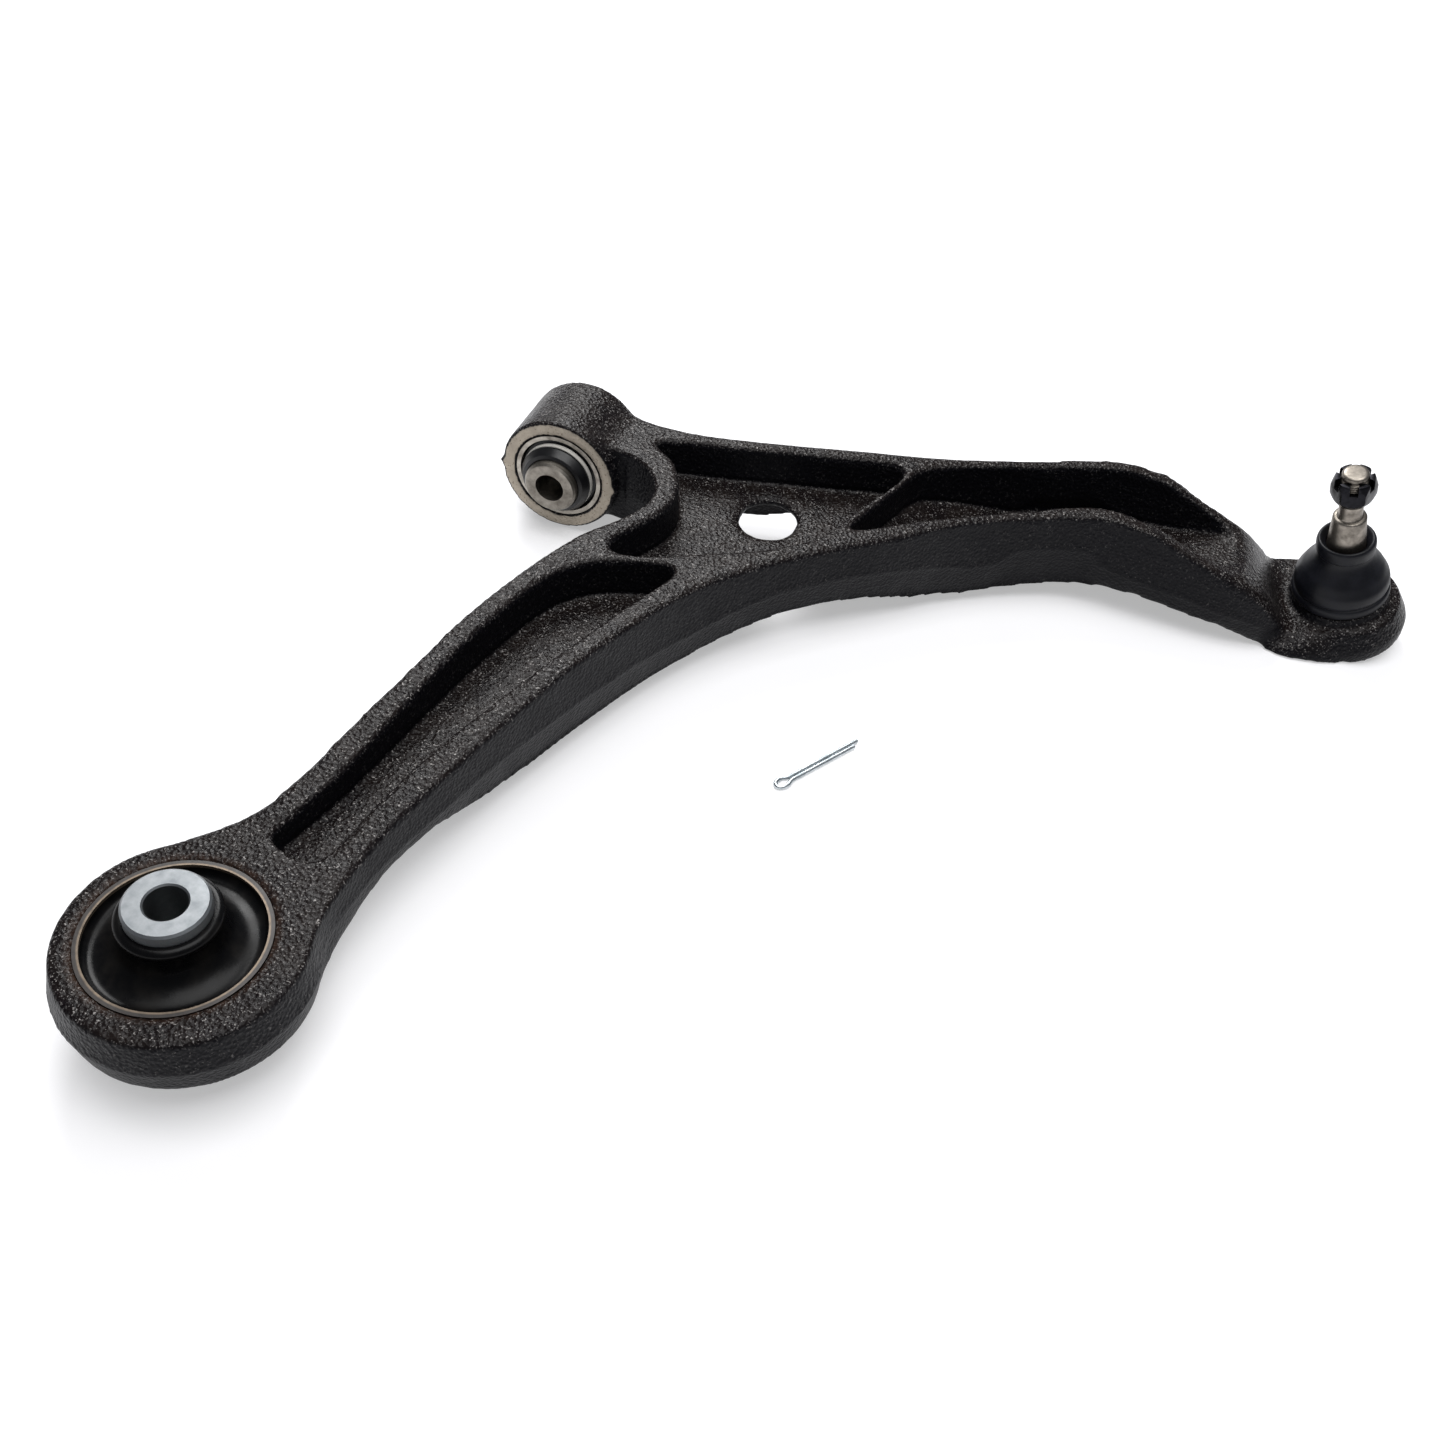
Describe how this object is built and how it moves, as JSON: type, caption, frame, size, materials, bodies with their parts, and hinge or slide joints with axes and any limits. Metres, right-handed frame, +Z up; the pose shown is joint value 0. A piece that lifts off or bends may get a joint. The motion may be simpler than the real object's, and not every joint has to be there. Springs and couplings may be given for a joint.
{
  "type": "front lower control arm",
  "caption": "Cast suspension control arm with pocketed web, a rubber bushing at the rear eye, a cross-bore rubber bushing at the front, and a booted ball joint with castle nut.",
  "frame": {"origin": "middle of the rear bushing's bolt bore, halfway along it", "axes": "+Z up along the rear bushing's bore; +Y forwards, parallel to the front bushing's bore; +X outboard, towards the ball joint"},
  "size_m": [0.457, 0.4777, 0.0961],
  "materials": {
    "cast_body": "black painted sand casting",
    "sleeve_steel": "dull",
    "plated_steel": "zinc plated",
    "worn_steel": "turned, bare",
    "stud_steel": "ground",
    "blackened_steel": "black oxide",
    "bush_rubber": "satin",
    "boot_rubber": "matte",
    "pale_plastic": "matte",
    "seat_plastic": "matte",
    "zinc_wire": "bright zinc"
  },
  "bodies": {
    "arm": {"arm_casting": "cast_body", "rear_outer_sleeve": "sleeve_steel", "rear_rubber": "bush_rubber", "front_outer_sleeve": "sleeve_steel", "front_rubber": "bush_rubber", "front_thrust_rings": "pale_plastic", "front_dust_lips": "bush_rubber", "socket_housing": "worn_steel", "upper_seat": "seat_plastic", "lower_seat": "seat_plastic", "preload_washer": "sleeve_steel", "socket_cover": "worn_steel"},
    "front_core": {"front_inner_sleeve": "worn_steel"},
    "rear_core": {"rear_inner_sleeve": "plated_steel"},
    "boot_carrier": {"dust_boot": "boot_rubber", "boot_lower_ring": "sleeve_steel"},
    "stud_swing": {"boot_collar": "boot_rubber", "boot_upper_ring": "sleeve_steel"},
    "stud": {"ball_stud": "stud_steel", "castle_nut": "blackened_steel"},
    "loose_pin": {"cotter_pin": "zinc_wire"}
  },
  "joints": [
    {"name": "front_sleeve_twist", "type": "hinge", "parent": "arm", "child": "front_core", "pos_m": [0.006, 0.3275, 0], "axis": [0, 1, 0], "range_deg": [-12, 12], "stiffness_Nm_per_rad": 40, "deforming": ["front_rubber"]},
    {"name": "rear_sleeve_tilt", "type": "hinge", "parent": "arm", "child": "rear_core", "pos_m": [0, 0, 0], "axis": [0, 1, 0], "range_deg": [-12, 12], "stiffness_Nm_per_rad": 60, "deforming": ["rear_rubber"]},
    {"name": "ball_swing_direction", "type": "hinge", "parent": "arm", "child": "boot_carrier", "pos_m": [0.3805, 0.4005, -0.009], "axis": [-0.2714, -0.1736, 0.9467], "continuous": true},
    {"name": "stud_tilt", "type": "hinge", "parent": "boot_carrier", "child": "stud_swing", "pos_m": [0.3805, 0.4005, -0.009], "axis": [0.9613, 0, 0.2756], "range_deg": [-22, 22], "deforming": ["dust_boot"]},
    {"name": "stud_spin", "type": "hinge", "parent": "stud_swing", "child": "stud", "pos_m": [0.3805, 0.4005, -0.009], "axis": [-0.2714, -0.1736, 0.9467], "continuous": true},
    {"name": "cotter_pin_lift", "type": "slide", "parent": "arm", "child": "loose_pin", "axis": [0, 0, 1], "range_m": [0, 0.08]}
  ],
  "couplings": [
    {"joint": "rear_sleeve_tilt", "follows": "front_sleeve_twist", "ratio": 1}
  ]
}
